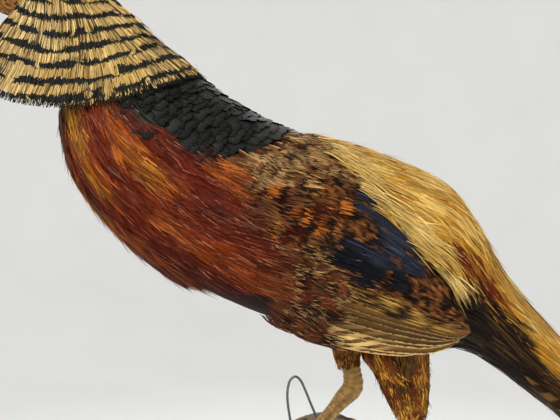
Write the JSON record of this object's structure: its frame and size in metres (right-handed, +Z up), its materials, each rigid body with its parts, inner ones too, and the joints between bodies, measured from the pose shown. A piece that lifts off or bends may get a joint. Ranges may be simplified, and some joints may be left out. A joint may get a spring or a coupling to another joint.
{
  "type": "taxidermy golden pheasant on wall plaque",
  "caption": "Mounted long-tailed pheasant cock standing on a short branch that comes out of a wood slice, which hangs on a wall by a wire loop.",
  "frame": {"origin": "centre of the wood slice's back face, on the wall", "axes": "+Z up, +X along the wall towards the tail, +Y into the wall"},
  "size_m": [0.8304, 0.1705, 0.6953],
  "materials": {
    "feather_head": "short soft feathers, rusty buff on the face and throat",
    "feather_crest": "silky hair-like feathers, golden yellow",
    "feather_cape": "broad flat feathers, straw gold with blue-black bars",
    "feather_body": "soft layered feathers, dark rusty red with a green-black mantle",
    "feather_rump": "loose hair-like feathers, straw gold",
    "feather_tail": "long stiff feathers, black-brown with buff spots and bars",
    "feather_wing": "close layered feathers, chestnut and black-brown mottled with buff",
    "feather_secondary": "stiff layered feathers, dark steel blue and mottled brown",
    "feather_primary": "stiff feathers, brown with buff edges and bars",
    "feather_leg": "soft feathers, golden brown with dark tips",
    "skin_leg": "dried scaled skin, ochre brown, slightly waxy",
    "horn": "dull polished horn, yellow brown",
    "eye": "glass taxidermy eye, pale yellow iris round a black pupil",
    "plaque_wood": "sawn and sanded wood slice, matt",
    "plaque_bark": "rough bark edge, grey brown",
    "branch_bark": "rough bark, grey brown",
    "steel_wire": "drawn wire, dull grey"
  },
  "bodies": {
    "root": {"head": "feather_head", "neck": "feather_head", "trunk": "feather_body", "eye_left": "eye", "eye_right": "eye", "bill_upper": "horn", "bill_lower": "horn", "crest": "feather_crest", "cape": "feather_cape", "rump": "feather_rump", "tail_coverts": "feather_rump", "tail_middle": "feather_tail", "tail_side_left": "feather_tail", "tail_side_right": "feather_tail", "plaque_wood": "plaque_wood", "plaque_bark": "plaque_bark", "branch": "branch_bark", "hanger_wire": "steel_wire", "wing_left_coverts": "feather_wing", "wing_left_secondaries": "feather_secondary", "wing_left_primaries": "feather_primary", "thigh_left": "feather_leg", "shank_left": "skin_leg", "spur_left": "horn", "foot_left": "skin_leg", "claw_left_inner": "horn", "claw_left_middle": "horn", "claw_left_outer": "horn", "claw_left_hind": "horn", "wing_right_coverts": "feather_wing", "wing_right_secondaries": "feather_secondary", "wing_right_primaries": "feather_primary", "thigh_right": "feather_leg", "shank_right": "skin_leg", "spur_right": "horn", "foot_right": "skin_leg", "claw_right_inner": "horn", "claw_right_middle": "horn", "claw_right_outer": "horn", "claw_right_hind": "horn"}
  },
  "joints": []
}
